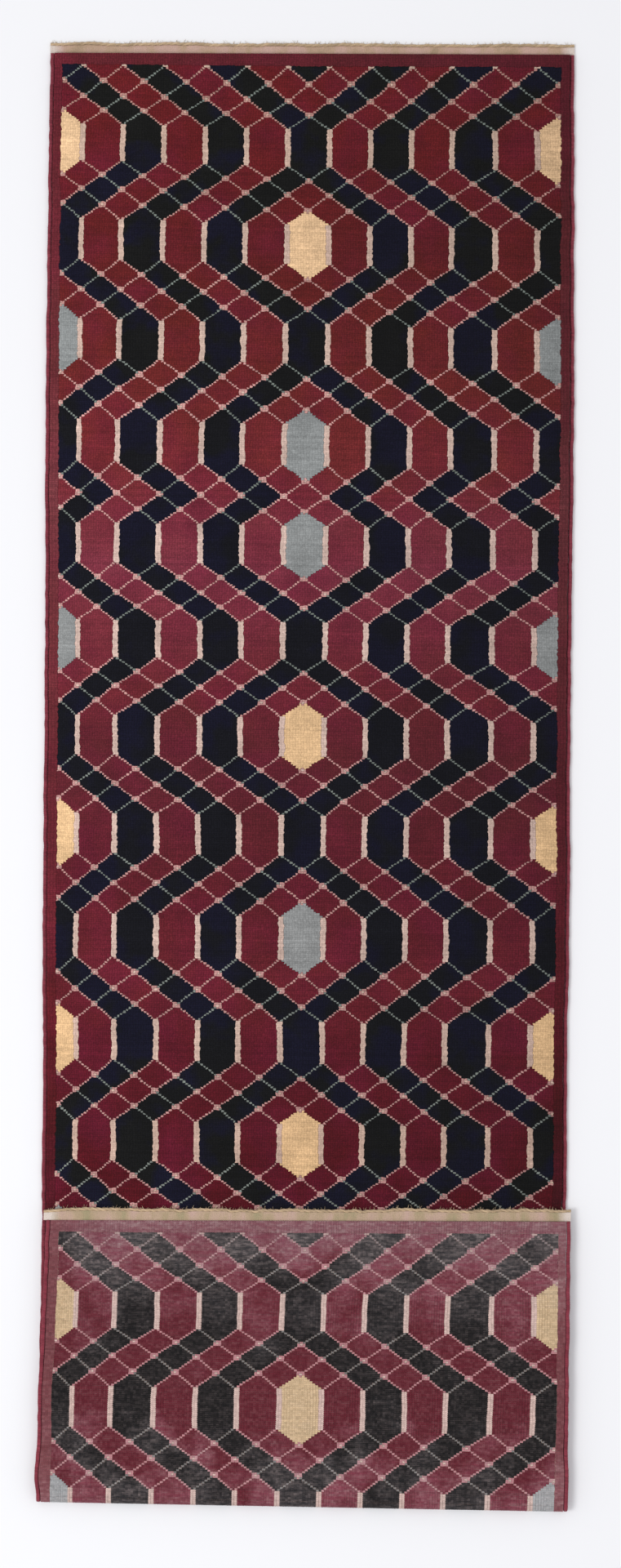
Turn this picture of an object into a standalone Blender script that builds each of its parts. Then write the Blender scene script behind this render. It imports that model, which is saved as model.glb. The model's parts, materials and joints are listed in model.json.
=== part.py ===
"""A hand-knotted wool runner rug whose near end is folded back over its front.

The rug lies on its back at z = 0 with its far end towards +Y. It is drawn laid flat first: x runs across
it, d runs down its length from the far end, and z is the height above the back. Four fold lines cut it
into the long main stretch, three narrow fold stretches and the flap. Each stretch hangs on an empty that
stands on its fold line and turns it by an eighth of a turn, so the four turns bring the flap back over
the main stretch with its pale back face up.
"""

import math

import bmesh
import bpy
from mathutils import Vector

# Driving dimensions, in metres and radians
WIDTH = 0.820
LENGTH = 2.745
THICKNESS = 0.0100
FOUNDATION_THICKNESS = 0.0030
FLAP_LENGTH = 0.453
FOLD_LINE_COUNT = 4
FOLD_SKEW = math.radians(0.5)
NEAR_END_SKEW = math.radians(1.3)
LAYER_GAP = 0.0006
GAP = 0.0003

# Selvedge: an overcast wrap around a core cord, along both long edges
SELVEDGE_WIDTH = 0.0070
SELVEDGE_HEIGHT = 0.0064
SELVEDGE_BORE_RADIUS = 0.0016
CORE_RADIUS = 0.0013

# Flat-woven band and rolled cord, across both ends
END_CORD_WIDTH = 0.0050
END_CORD_HEIGHT = 0.0046
END_BAND_LENGTH = 0.0180
KILIM_THICKNESS = 0.0028

PILE_EDGE_CHAMFER = 0.0015
FOLD_PILE_TOP = 0.0085
ROUND_SIDES = 12

# Derived sizes
TURN = math.pi / FOLD_LINE_COUNT
FOLD_RADIUS = THICKNESS + LAYER_GAP / 2
FOLD_STEP = 2 * FOLD_RADIUS * math.tan(TURN / 2)
FIRST_FOLD = LENGTH - FLAP_LENGTH - (FOLD_LINE_COUNT - 1) * FOLD_STEP
INNER_HALF_WIDTH = WIDTH / 2 - SELVEDGE_WIDTH - GAP
FOLD_AXIS = Vector((math.cos(FOLD_SKEW), -math.sin(FOLD_SKEW), 0))

STRETCHES = ["main", "fold_1", "fold_2", "fold_3", "flap"]

# Colour, roughness and metallic value of each material
FINISHES = {
    "foundation_wool": ((0.56, 0.47, 0.36), 0.95, 0.0),
    "pile_wool": ((0.17, 0.022, 0.034), 0.9, 0.0),
    "selvedge_wool": ((0.11, 0.014, 0.026), 0.9, 0.0),
    "core_cord": ((0.60, 0.52, 0.40), 0.95, 0.0),
    "end_wool": ((0.58, 0.43, 0.27), 0.95, 0.0),
}


def clear_scene():
    for thing in list(bpy.data.objects):
        bpy.data.objects.remove(thing, do_unlink=True)


def material(name):
    found = bpy.data.materials.get(name)
    if found:
        return found
    colour, roughness, metallic = FINISHES[name]
    made = bpy.data.materials.new(name)
    made.use_nodes = True
    shader = made.node_tree.nodes["Principled BSDF"]
    shader.inputs["Base Color"].default_value = (*colour, 1.0)
    shader.inputs["Roughness"].default_value = roughness
    shader.inputs["Metallic"].default_value = metallic
    made.diffuse_color = (*colour, 1.0)
    return made


# Where a stretch starts or stops: each of these returns d as a function of x and z


def square_cut(d):
    return lambda x, z: d


def near_end_cut(inset):
    """A line parallel to the near end, which isn't quite square to the sides."""
    return lambda x, z: LENGTH - inset + x * math.tan(NEAR_END_SKEW)


def fold_cut(line, side):
    """The face beside a fold line, for the stretch before it (side -1) or after it (side +1).
    It leans back by half the turn, so that the two faces meet when the rug is folded."""
    centre = FIRST_FOLD + (line - 1) * FOLD_STEP

    def d_at(x, z):
        setback = GAP / 2 / math.cos(TURN / 2) + z * math.tan(TURN / 2)
        return centre + x * math.tan(FOLD_SKEW) + side * setback / math.cos(FOLD_SKEW)

    return d_at


def stretch_cuts(stretch):
    index = STRETCHES.index(stretch)
    start = square_cut(END_BAND_LENGTH + GAP) if index == 0 else fold_cut(index, 1)
    last = index == len(STRETCHES) - 1
    stop = near_end_cut(END_BAND_LENGTH + GAP) if last else fold_cut(index + 1, -1)
    return start, stop


# Cross-sections, as rings of points


def slab_profile(half_width, bottom, top, chamfer=0.0):
    if not chamfer:
        return [(-half_width, bottom), (half_width, bottom), (half_width, top), (-half_width, top)]
    inner = half_width - chamfer
    shoulder = top - chamfer
    return [
        (-half_width, bottom),
        (half_width, bottom),
        (half_width, shoulder),
        (inner, top),
        (-inner, top),
        (-half_width, shoulder),
    ]


def round_profile(centre_u, centre_v, radius_u, radius_v):
    """An ellipse whose lowest and highest sides are flat, so that it rests on a line of material."""
    step = 2 * math.pi / ROUND_SIDES
    reach = 1 / math.cos(step / 2)
    ring = []
    for i in range(ROUND_SIDES):
        angle = (i + 0.5) * step
        u = centre_u + radius_u * reach * math.cos(angle)
        v = centre_v + radius_v * reach * math.sin(angle)
        ring.append((u, v))
    return ring


# Solids


def ring_faces(bm, first, second):
    """The band of faces between two rings of vertices."""
    count = len(first)
    for i in range(count):
        following = (i + 1) % count
        bm.faces.new((first[i], first[following], second[following], second[i]))


def finish_object(bm, name, finish, parent, smooth):
    bmesh.ops.recalc_face_normals(bm, faces=bm.faces[:])
    mesh = bpy.data.meshes.new(name)
    bm.to_mesh(mesh)
    bm.free()
    if smooth:
        mesh.shade_smooth()
        mesh.set_sharp_from_angle(angle=math.radians(40))
    mesh.materials.append(material(finish))
    made = bpy.data.objects.new(name, mesh)
    bpy.context.scene.collection.objects.link(made)
    made.parent = parent["empty"]
    return made


def local_point(parent, x, d, z):
    """A point of the flat rug, seen from the empty of its stretch."""
    return Vector((x, -d, z)) - parent["flat_origin"]


def lengthwise(name, finish, parent, start, stop, outer, bore=None, smooth=False):
    """A bar of constant cross-section that runs down the rug from one cut to another."""
    bm = bmesh.new()

    def ring(profile, cut):
        return [bm.verts.new(local_point(parent, x, cut(x, z), z)) for x, z in profile]

    outer_start, outer_stop = ring(outer, start), ring(outer, stop)
    ring_faces(bm, outer_start, outer_stop)
    if bore:
        bore_start, bore_stop = ring(bore, start), ring(bore, stop)
        ring_faces(bm, bore_stop, bore_start)
        ring_faces(bm, outer_start, bore_start)
        ring_faces(bm, outer_stop, bore_stop)
    else:
        bm.faces.new(outer_start)
        bm.faces.new(outer_stop)
    return finish_object(bm, name, finish, parent, smooth)


def crosswise(name, finish, parent, line, profile, half_width):
    """A bar that runs across the rug along a line; its profile is in d and z."""
    bm = bmesh.new()
    rings = []
    for x in (-half_width, half_width):
        rings.append([bm.verts.new(local_point(parent, x, line(x, 0) + d, z)) for d, z in profile])
    ring_faces(bm, rings[0], rings[1])
    bm.faces.new(rings[0])
    bm.faces.new(rings[1])
    return finish_object(bm, name, finish, parent, smooth=True)


# The rug


def make_stretch_frames():
    """One empty for each stretch, on its fold line and under the empty before it."""
    frame = bpy.data.objects.new("rug_frame", None)
    bpy.context.scene.collection.objects.link(frame)
    frames = {"main": {"empty": frame, "flat_origin": Vector((0, 0, 0))}}
    before = frames["main"]
    for line, stretch in enumerate(STRETCHES[1:], start=1):
        across = FOLD_AXIS.cross(Vector((0, 0, 1)))
        first = Vector((0, -FIRST_FOLD, 0))
        flat_origin = first + across * FOLD_STEP * (line - 1)
        empty = bpy.data.objects.new(f"fold_line_{line}", None)
        bpy.context.scene.collection.objects.link(empty)
        empty.parent = before["empty"]
        empty.location = flat_origin - before["flat_origin"]
        empty.rotation_mode = "AXIS_ANGLE"
        empty.rotation_axis_angle = (-TURN, *FOLD_AXIS)
        frames[stretch] = {"empty": empty, "flat_origin": flat_origin}
        before = frames[stretch]
    return frames


def make_field(frames):
    """The foundation of warps and wefts, and the knotted pile on it."""
    for stretch in STRETCHES:
        start, stop = stretch_cuts(stretch)
        foundation = slab_profile(INNER_HALF_WIDTH, 0, FOUNDATION_THICKNESS)
        lengthwise(f"foundation_{stretch}", "foundation_wool", frames[stretch], start, stop, foundation)
        top = FOLD_PILE_TOP if stretch.startswith("fold") else THICKNESS
        pile = slab_profile(INNER_HALF_WIDTH, FOUNDATION_THICKNESS + GAP, top, PILE_EDGE_CHAMFER)
        lengthwise(f"pile_{stretch}", "pile_wool", frames[stretch], start, stop, pile)


def make_selvedges(frames):
    """On each long edge, a core cord inside an overcast wrap."""
    middle_height = SELVEDGE_HEIGHT / 2
    for side, sign in (("left", -1), ("right", 1)):
        middle = sign * (WIDTH - SELVEDGE_WIDTH) / 2
        wrap = round_profile(middle, middle_height, SELVEDGE_WIDTH / 2, middle_height)
        bore = round_profile(middle, middle_height, SELVEDGE_BORE_RADIUS, SELVEDGE_BORE_RADIUS)
        core = round_profile(middle, middle_height, CORE_RADIUS, CORE_RADIUS)
        for stretch in STRETCHES:
            cuts = stretch_cuts(stretch)
            wrap_name = f"selvedge_wrap_{side}_{stretch}"
            core_name = f"selvedge_core_{side}_{stretch}"
            lengthwise(wrap_name, "selvedge_wool", frames[stretch], *cuts, wrap, bore, smooth=True)
            lengthwise(core_name, "core_cord", frames[stretch], *cuts, core, smooth=True)


def make_ends(frames):
    """Across each end, a flat-woven band and then a rolled cord of the warp ends."""
    band = slab_profile(WIDTH / 2, 0, KILIM_THICKNESS)
    band_start = END_CORD_WIDTH + GAP
    radius_d, radius_z = END_CORD_WIDTH / 2, END_CORD_HEIGHT / 2
    far_cuts = (square_cut(band_start), square_cut(END_BAND_LENGTH))
    near_cuts = (near_end_cut(END_BAND_LENGTH), near_end_cut(band_start))
    lengthwise("kilim_band_far", "end_wool", frames["main"], *far_cuts, band)
    lengthwise("kilim_band_near", "end_wool", frames["flap"], *near_cuts, band)
    far_cord = round_profile(radius_d, radius_z, radius_d, radius_z)
    near_cord = round_profile(-radius_d, radius_z, radius_d, radius_z)
    crosswise("end_cord_far", "end_wool", frames["main"], square_cut(0), far_cord, WIDTH / 2)
    crosswise("end_cord_near", "end_wool", frames["flap"], near_end_cut(0), near_cord, WIDTH / 2)


def stand_on_origin(frame):
    """Moves the whole rug so that the origin is under the middle of its box."""
    bpy.context.view_layer.update()
    corners = []
    for thing in bpy.data.objects:
        if thing.type == "MESH":
            corners += [thing.matrix_world @ vertex.co for vertex in thing.data.vertices]
    for axis in (0, 1):
        values = [corner[axis] for corner in corners]
        frame.location[axis] -= (min(values) + max(values)) / 2
    frame.location[2] -= min(corner[2] for corner in corners)
    bpy.context.view_layer.update()


def main():
    clear_scene()
    frames = make_stretch_frames()
    make_field(frames)
    make_selvedges(frames)
    make_ends(frames)
    stand_on_origin(frames["main"]["empty"])


main()
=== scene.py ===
"""Looks of the runner rug: every knot of its pile as a solid of its own yarn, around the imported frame.

The rug is worked out laid flat and then folded. A place on it is x, across from its middle, d, down its
length from the far end, and z, up from its back. knots() turns columns and rows of knots into x and d,
and folded() takes x, d and z to where they lie on the folded rug.
"""

import json
import math

import bpy
import numpy as np
from mathutils import Matrix, Vector


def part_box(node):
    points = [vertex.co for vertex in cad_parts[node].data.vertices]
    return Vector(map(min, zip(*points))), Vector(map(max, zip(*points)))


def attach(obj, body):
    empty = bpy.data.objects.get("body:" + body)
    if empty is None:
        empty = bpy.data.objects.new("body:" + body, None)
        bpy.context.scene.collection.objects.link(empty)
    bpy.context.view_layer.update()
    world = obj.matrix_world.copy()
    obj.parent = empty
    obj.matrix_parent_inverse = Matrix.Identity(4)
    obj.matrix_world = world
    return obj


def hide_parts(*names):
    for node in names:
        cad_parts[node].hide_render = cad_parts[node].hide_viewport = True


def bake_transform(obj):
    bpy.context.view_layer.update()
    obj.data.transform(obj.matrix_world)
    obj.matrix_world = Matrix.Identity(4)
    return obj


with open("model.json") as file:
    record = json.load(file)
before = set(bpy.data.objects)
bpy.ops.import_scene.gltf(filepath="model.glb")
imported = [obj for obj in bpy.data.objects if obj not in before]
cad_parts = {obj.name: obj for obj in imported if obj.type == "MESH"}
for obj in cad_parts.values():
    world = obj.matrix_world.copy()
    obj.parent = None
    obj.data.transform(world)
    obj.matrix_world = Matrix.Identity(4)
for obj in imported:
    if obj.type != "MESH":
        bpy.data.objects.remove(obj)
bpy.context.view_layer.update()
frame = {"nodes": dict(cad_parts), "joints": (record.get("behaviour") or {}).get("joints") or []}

# ------ sizes, from the frame, in metres

joints = {joint["name"]: joint for joint in frame["joints"]}
FOLD_POINT = Vector(joints["fold_turn_1"]["pos_m"])
FLAP_POINT = Vector(joints["flap_turn"]["pos_m"])
FOLD_AXIS = Vector(joints["fold_turn_1"]["axis"])
FOLD_DOWN = FOLD_AXIS.cross(Vector((0, 0, 1)))
FOLD_SKEW = math.atan2(-FOLD_AXIS.y, FOLD_AXIS.x)
FOLD_LINES = len(joints)
TURN = math.pi / FOLD_LINES
RADIUS = FLAP_POINT.z / 2
STEP = 2 * RADIUS * math.tan(TURN / 2)

far_low, far_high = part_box("end_cord_far")
near_low, near_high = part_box("end_cord_near")
WIDTH = far_high.x - far_low.x
MIDDLE_X = (far_low.x + far_high.x) / 2
FAR_Y = far_high.y
CORD_WIDTH = far_high.y - far_low.y
CORD_HEIGHT = far_high.z
BAND_END = FAR_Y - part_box("kilim_band_far")[0].y
BAND_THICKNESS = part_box("kilim_band_far")[1].z
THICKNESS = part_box("pile_main")[1].z
PILE_WIDTH = 2 * (MIDDLE_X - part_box("pile_main")[0].x)
SELVEDGE_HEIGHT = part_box("selvedge_wrap_left_main")[1].z
SELVEDGE_WIDTH = (WIDTH - PILE_WIDTH) / 2
END_HALF_WIDTH = WIDTH / 2 - 0.0003

FIRST_FOLD = FAR_Y - FOLD_POINT.y
FOLD_START = FIRST_FOLD - STEP / 2
FOLD_END = FOLD_START + FOLD_LINES * STEP
near_cord_y = (near_low.y + near_high.y) / 2
FLAP_LENGTH = (near_cord_y - FLAP_POINT.y) / math.cos(2 * FOLD_SKEW) + CORD_WIDTH / 2
LENGTH = FIRST_FOLD + (FOLD_LINES - 1) * STEP + FLAP_LENGTH
NEAR_END_SKEW = 2 * FOLD_SKEW + math.asin((near_high.y - near_low.y - CORD_WIDTH) / WIDTH)

# Between warps, between turns of the selvedge's yarn, and between those of the end cord
WARP_SPACING = 0.002
WIND_PITCH = 0.0028
TWIST_PITCH = 0.010

# ------ the pattern, in knots

COLUMN_PITCH = 16
SIDE_COLUMNS = 6
BORDER_COLUMNS = 3
ROW_PITCH = 52
BAR_HALF_LENGTH = 10
BAR_WIDTH = 2
DIAMOND = 8
BORDER_ROWS = 6
FIELD_HALF = COLUMN_PITCH * SIDE_COLUMNS
LAST_COLUMN = FIELD_HALF + BORDER_COLUMNS
KNOT_WIDTH = PILE_WIDTH / (2 * LAST_COLUMN + 1)

BORDER, RED, NAVY, IVORY, GOLD, GREY, ROSE, SLATE = range(8)
YARNS = ["border", "red", "navy", "ivory", "gold", "grey", "rose", "slate"]

# The eye of each row of hexagons: its colour and its column (6 stands for both sides).
# The rows after the ninth repeat the first eight backwards.
HALF_EYES = [(GOLD, 6), (GOLD, 0), (GREY, 6), (GREY, 0), (GREY, 0), (GREY, 6), (GOLD, 0), (GOLD, 6)]
END_EYE = (NAVY, 0)
EYES = np.array([END_EYE, *HALF_EYES, (GREY, 0), *HALF_EYES[::-1], END_EYE])
HEXAGON_ROWS = len(EYES) - 2
FIELD_FIRST_ROW = -(BAR_HALF_LENGTH + 4 * DIAMOND)
FIELD_LAST_ROW = (HEXAGON_ROWS - 1) * ROW_PITCH - FIELD_FIRST_ROW
FIRST_ROW = FIELD_FIRST_ROW - BORDER_ROWS
LAST_ROW = FIELD_LAST_ROW + BORDER_ROWS

# The fold takes in the fifteenth row of hexagons, with three rows of knots to each of its steps
ROWS_PER_STEP = 3
FOLD_FIRST_ROW = 14 * ROW_PITCH - FOLD_LINES * ROWS_PER_STEP // 2
FOLD_LAST_ROW = FOLD_FIRST_ROW + FOLD_LINES * ROWS_PER_STEP - 1

# The bands of diamonds, down the rug: how far each lies from the one before, and the slopes of its left and
# right halves. The weaver's beat wasn't even.
DIAMOND_BANDS = [
    (0.093, 0.023, -0.003), (0.147, 0.028, 0.017), (0.155, 0.019, 0.028), (0.1555, 0.025, 0.025),
    (0.1605, 0.015, 0.016), (0.151, 0.005, 0.018), (0.1465, 0.008, 0.017), (0.151, 0.004, 0.013),
    (0.1555, 0.011, 0.007), (0.163, 0.007, 0.009), (0.1595, 0.016, 0.009), (0.1535, 0.01, 0.009),
    (0.147, 0.012, 0.009), (0.136, 0.011, 0.009), (0.136, 0.01, 0.009), (0.1495, 0.013, 0.004),
    (0.156, 0.0115, -0.003), (0.1415, 0.014, 0.019),
]


def row_stops():
    """Rows of knots, their d at the rug's middle, and the weave's slope there on the left and the right."""
    beats, lefts, rights = np.array(DIAMOND_BANDS).T
    rows = (np.arange(len(beats)) - 0.5) * ROW_PITCH
    fold, end = math.tan(FOLD_SKEW), math.tan(NEAR_END_SKEW)
    stops = [
        (FIRST_ROW - 0.5, BAND_END, 0, 0), (LAST_ROW + 0.5, LENGTH - BAND_END, end, end),
        (FOLD_FIRST_ROW - 0.5, FOLD_START, fold, fold), (FOLD_LAST_ROW + 0.5, FOLD_END, fold, fold),
        *zip(rows, np.cumsum(beats), lefts, rights),
    ]
    return np.array(sorted(stops)).T


ROW_STOPS, D_STOPS, LEFT_SLOPES, RIGHT_SLOPES = row_stops()

# How far right of an even spacing the upright bars and the field's left edge lie, in knots, and how much of
# that there is along the rug in its left and right halves
BAR_DRIFTS = [-0.4, -1.8, -1.5, -1.5, -1.8, -1.6, -1.4, -1.7, -1.8, -2.3, -1.3, -1.1]
EDGE_DRIFT = 0.6
LEFT_DRIFT = np.array([(0.1, 0.25), (0.95, 1.0)]).T
RIGHT_DRIFT = np.array([(2.4, 1.0), (LENGTH, 0.6)]).T

# Columns of knots, and how far right of an even spacing they lie
BAR_COLUMNS = (np.arange(2 * SIDE_COLUMNS) - SIDE_COLUMNS + 0.5) * COLUMN_PITCH
COLUMN_STOPS = [-LAST_COLUMN - 0.5, -FIELD_HALF - 0.5, *BAR_COLUMNS, FIELD_HALF + 0.5, LAST_COLUMN + 0.5]
DRIFTS = [0, EDGE_DRIFT, *BAR_DRIFTS, -EDGE_DRIFT, 0]

# How wide the rug is, against its mean, along it
WIDTHS = np.array([
    (0, 0.998), (0.3, 1.003), (0.55, 1.006), (1.05, 0.998), (1.23, 0.999), (1.4, 0.997), (1.6, 0.992),
    (1.85, 0.991), (2.2, 1.0), (2.45, 1.003), (2.6, 0.995), (LENGTH, 0.989),
]).T


def eased(at, stops):
    """A smooth line through stops, level at each."""
    xs, ys = stops
    index = np.clip(np.searchsorted(xs, at) - 1, 0, len(xs) - 2)
    t = np.clip((at - xs[index]) / (xs[index + 1] - xs[index]), 0, 1)
    t = t * t * (3 - 2 * t)
    return ys[index] * (1 - t) + ys[index + 1] * t


def soft_noise(u, v, seed):
    """Smooth noise from -1 to 1 with a bump about every unit of u and v."""
    size = 256
    lattice = np.random.RandomState(seed).uniform(-1, 1, (size, size))
    u0, v0 = np.floor(u).astype(int), np.floor(v).astype(int)
    tu, tv = u - u0, v - v0
    tu, tv = tu * tu * (3 - 2 * tu), tv * tv * (3 - 2 * tv)

    def along(v):
        return lattice[u0 % size, v % size] * (1 - tu) + lattice[(u0 + 1) % size, v % size] * tu

    return along(v0) * (1 - tv) + along(v0 + 1) * tv


# ------ laying and folding

SLOPE_BLEND = 0.2
WOBBLE = 0.0009
WOBBLE_SPACING = 0.045
WAVE_HEIGHT = 0.0007
WAVE_SPACING = 0.22

# How much further out each side border of the flap lies than an even one, along the rug
LEFT_BORDER = np.array([(FOLD_END, 0), (FOLD_END + 0.03, 0.0035), (FOLD_END + 0.1, 0.0)]).T
RIGHT_BORDER = np.array([
    (FOLD_END + 0.03, 0), (FOLD_END + 0.12, -0.003), (LENGTH - 0.06, -0.0015), (LENGTH, 0),
]).T


def laid(x, d):
    """A place on a perfectly even rug, moved to where this hand-woven one has it, still laid flat."""
    x, d = np.broadcast_arrays(np.asarray(x, float), np.asarray(d, float))
    calm = np.clip(np.abs(d - (FOLD_START + FOLD_END) / 2) / 0.06 - 0.5, 0, 1)
    calm_ends = calm * np.clip(d / 0.03 - 0.7, 0, 1) * np.clip((LENGTH - d) / 0.03 - 0.7, 0, 1)
    u, v = x / WOBBLE_SPACING, d / WOBBLE_SPACING
    ripple = soft_noise(u * 0.7, v, 11) + 0.6 * soft_noise(u, v * 4, 14)
    wide = x * eased(d, WIDTHS) + WOBBLE * calm * ripple
    in_border = np.clip((np.abs(x) / KNOT_WIDTH - FIELD_HALF) / BORDER_COLUMNS, 0, 1)
    wide = wide + in_border * np.where(x < 0, -eased(d, LEFT_BORDER), eased(d, RIGHT_BORDER))
    rightness = np.clip(0.5 + x / SLOPE_BLEND, 0, 1)
    left, right = np.interp(d, D_STOPS, LEFT_SLOPES), np.interp(d, D_STOPS, RIGHT_SLOPES)
    slope = left * (1 - rightness) + right * rightness
    long = d + slope * x + WOBBLE * calm_ends * soft_noise(u, v, 12)
    return wide, long


def wave(x, d):
    """How far the long stretch lifts off the floor."""
    fade = np.clip((1.9 - d) / 0.3, 0, 1) * np.clip(d / 0.2, 0, 1)
    return WAVE_HEIGHT * fade * (1 + soft_noise(x / WAVE_SPACING + 40, d / WAVE_SPACING, 13))


def from_fold(x, d):
    """How far along and past the first fold line places of the flat rug lie."""
    down = d - FIRST_FOLD
    return x * FOLD_AXIS.x - down * FOLD_AXIS.y, x * FOLD_DOWN.x - down * FOLD_DOWN.y


def folded(x, d, z):
    """Points of the flat rug, as they lie with the near end folded over."""
    x, d, z = np.broadcast_arrays(x, d, z)
    along, past = from_fold(x, d)
    start = -STEP / 2
    angle = np.clip((past - start) / (FOLD_LINES * STEP), 0, 1) * math.pi
    over = np.clip(past - start - FOLD_LINES * STEP, 0, None)
    lift = np.where(past < start, wave(x, d), 0)
    reach = np.minimum(past, start) + (RADIUS - z) * np.sin(angle) - over
    height = RADIUS - (RADIUS - z) * np.cos(angle) + lift
    return on_fold(along, reach, height)


def on_fold(along, reach, height):
    """World points from distances along and past the first fold line, and heights."""
    return np.stack([
        FOLD_POINT.x + along * FOLD_AXIS.x + reach * FOLD_DOWN.x,
        FOLD_POINT.y + along * FOLD_AXIS.y + reach * FOLD_DOWN.y,
        height,
    ], axis=-1)


def folded_stiff(index):
    """Like folded, for what stays flat and turns with one stretch: 0 is the long one, 4 is the flap."""
    turns = np.arange(1, index) * TURN
    hinge_reach, hinge_height = STEP * np.cos(turns).sum(), STEP * np.sin(turns).sum()
    cos, sin = math.cos(index * TURN), math.sin(index * TURN)

    def place(x, d, z):
        along, past = from_fold(x, d)
        past = past - max(index - 1, 0) * STEP
        return on_fold(along, hinge_reach + past * cos - z * sin, hinge_height + past * sin + z * cos)

    return place


def knots(columns, rows):
    """x and d of places in the weave."""
    d = np.interp(rows, ROW_STOPS, D_STOPS)
    rightness = np.clip(0.5 + columns / (2 * FIELD_HALF), 0, 1)
    share = eased(d, LEFT_DRIFT) * (1 - rightness) + eased(d, RIGHT_DRIFT) * rightness
    drift = np.interp(columns, COLUMN_STOPS, DRIFTS) * share
    return laid((columns + drift) * KNOT_WIDTH, d)


# ------ which yarn each knot has


def eye_of(row):
    """Colour and column of the eye in a row of hexagons."""
    return EYES[np.clip(row + 1, 0, len(EYES) - 1)]


def hexagon_yarn(row, column):
    """Yarn of the hexagon in a row of hexagons and a column."""
    eye = eye_of(row)
    plain = np.where(column % 2 == 0, NAVY, RED)
    return np.where(np.abs(column) == eye[..., 1], eye[..., 0], plain)


def ribbon_yarn(row, half_column):
    """Yarn of the diamond beside a row of hexagons, at an odd half column."""
    even = (np.abs(half_column) // 2) % 2 == 0
    return np.where(even == (eye_of(row)[..., 1] == 0), RED, NAVY)


def cell_yarn(row, rising, falling):
    """Yarn of the cell between two rising and two falling lines, in the band under a row of hexagons."""
    level = rising - falling
    half_column = rising + falling + 1
    column = half_column // 2
    return np.choose(np.clip(level - 1, 0, 4), [
        hexagon_yarn(row, column),
        ribbon_yarn(row, half_column),
        np.where(column % 2 == 0, RED, NAVY),
        ribbon_yarn(row + 1, half_column),
        hexagon_yarn(row + 1, column),
    ])


def outline_yarn(one, other):
    """Yarn of an outline knot between two cells: an eye has no outline of its own."""
    eye = np.where(np.isin(one, (GOLD, GREY)), one, other)
    dark = (one == NAVY) & (other == NAVY)
    return np.where(np.isin(eye, (GOLD, GREY)), eye, np.where(dark, SLATE, ROSE))


def band_yarn(row, column, under):
    """Yarn in the band of diamonds: under counts the rows of knots down from the hexagons' middle."""
    shift = under - BAR_HALF_LENGTH + DIAMOND
    rising, past_rising = np.divmod(column + shift, 2 * DIAMOND)
    falling, past_falling = np.divmod(column - shift, 2 * DIAMOND)
    on_rising, on_falling = past_rising == 0, past_falling == 0
    here = cell_yarn(row, rising, falling)
    beside_rising = outline_yarn(here, cell_yarn(row, rising - 1, falling))
    beside_falling = outline_yarn(here, cell_yarn(row, rising, falling - 1))
    yarn = np.where(on_rising, beside_rising, np.where(on_falling, beside_falling, here))
    return np.where(on_rising & on_falling, IVORY, yarn)


def middle_yarn(row, column):
    """Yarn level with the hexagons' middles: hexagons with a bar between each two."""
    nearest = (column + COLUMN_PITCH // 2) // COLUMN_PITCH
    from_bar = np.abs(column) % COLUMN_PITCH - COLUMN_PITCH // 2
    on_bar = (from_bar > -BAR_WIDTH) & (from_bar <= 0)
    return np.where(on_bar, IVORY, hexagon_yarn(row, nearest))


def yarn_grid(rows, columns):
    """The yarn of each knot, for whole rows and columns."""
    row, column = np.meshgrid(rows, columns, indexing="ij")
    above, under = np.divmod(row, ROW_PITCH)
    nearest = (row + ROW_PITCH // 2) // ROW_PITCH
    in_middle = np.abs(row - nearest * ROW_PITCH) <= BAR_HALF_LENGTH
    yarn = np.where(in_middle, middle_yarn(nearest, column), band_yarn(above, column, under))
    node = (yarn == IVORY) & ~in_middle
    by_node = sum(np.roll(node, step, axis) for step in (-1, 1) for axis in (0, 1)) > 0
    yarn = np.where(by_node & ~in_middle, ROSE, yarn)
    in_field = (np.abs(column) <= FIELD_HALF) & (row >= FIELD_FIRST_ROW) & (row <= FIELD_LAST_ROW)
    return np.where(in_field, yarn, BORDER)


GRID = yarn_grid(np.arange(FIRST_ROW, LAST_ROW + 1), np.arange(-LAST_COLUMN, LAST_COLUMN + 1))


# ------ meshes

UV_MARGIN = 0.006
SHARP_ANGLE = math.radians(50)


def new_object(name, data):
    made = bpy.data.objects.new(name, data)
    bpy.context.scene.collection.objects.link(made)
    return made


def carry(mesh, name, weave):
    """Gives a mesh three numbers for each of its points."""
    attribute = mesh.attributes.new(name, "FLOAT_VECTOR", "POINT")
    attribute.data.foreach_set("vector", np.asarray(weave, np.float32).ravel())


def volume_of(points, groups):
    """Volume inside groups of faces, below zero if they are inside out."""
    total = 0.0
    for faces, _, _ in groups:
        first, *rest = (points[corner] for corner in faces.T)
        for second, third in zip(rest, rest[1:]):
            total += np.einsum("ij,ij->", first, np.cross(second, third))
    return total / 6


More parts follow.
